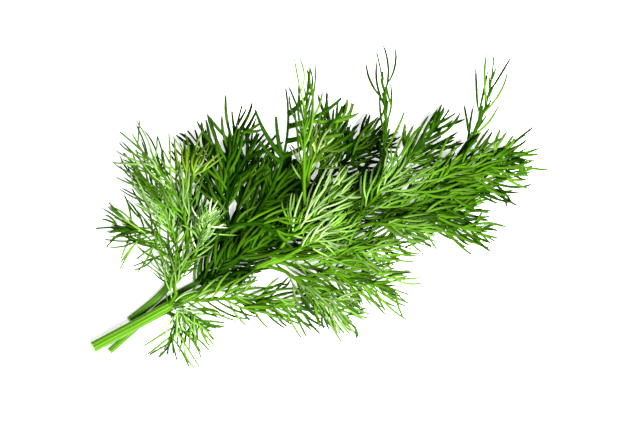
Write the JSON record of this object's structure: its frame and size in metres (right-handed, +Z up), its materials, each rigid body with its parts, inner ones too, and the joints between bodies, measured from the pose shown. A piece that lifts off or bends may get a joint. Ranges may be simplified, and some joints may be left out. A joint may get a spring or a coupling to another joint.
{
  "type": "dill bunch",
  "caption": "Fresh dill bunch lying on its side: cut stems that branch into feathery leaves of fine, pointed green threads.",
  "frame": {"origin": "on the surface that the bunch lies on, below the middle of its box", "axes": "+X along the stems towards the leaf tips, +Y to the left of the stems seen from above, +Z up"},
  "size_m": [0.1959, 0.112, 0.0268],
  "materials": {
    "stem": "satin",
    "dark_leaf": "satin",
    "middle_leaf": "satin",
    "bright_leaf": "satin"
  },
  "bodies": {
    "root": {"main_stem": "stem", "side_stem": "stem", "thin_stem": "stem", "far_left_leaf": "middle_leaf", "tall_left_leaf": "bright_leaf", "inner_left_leaf": "bright_leaf", "golden_fan_leaf": "bright_leaf", "pale_lace_leaf": "bright_leaf", "collar_leaf": "bright_leaf", "node_leaf": "middle_leaf", "node_side_leaf": "middle_leaf", "lace_leaf": "bright_leaf", "left_shade_leaf": "dark_leaf", "between_leaf": "dark_leaf", "lower_edge_leaf": "middle_leaf", "dark_left_leaf": "dark_leaf", "dark_tall_leaf": "dark_leaf", "dark_slope_leaf": "dark_leaf", "shaded_leaf": "dark_leaf", "forked_leaf": "dark_leaf", "centre_shade_leaf": "dark_leaf", "under_leaf": "dark_leaf", "curled_leaf": "middle_leaf", "upright_leaf": "bright_leaf", "golden_side_leaf": "bright_leaf", "back_middle_leaf": "dark_leaf", "back_low_leaf": "dark_leaf", "thin_sprig_leaf": "bright_leaf", "back_right_leaf": "dark_leaf", "right_sprig_leaf": "middle_leaf", "right_leaf": "middle_leaf", "right_low_leaf": "middle_leaf", "right_under_leaf": "middle_leaf", "arching_leaf": "middle_leaf", "bright_right_leaf": "bright_leaf", "bright_low_leaf": "bright_leaf", "front_middle_leaf": "middle_leaf", "front_leaf": "middle_leaf", "front_tip_leaf": "bright_leaf", "bright_centre_leaf": "bright_leaf", "pale_centre_leaf": "bright_leaf"}
  },
  "joints": []
}
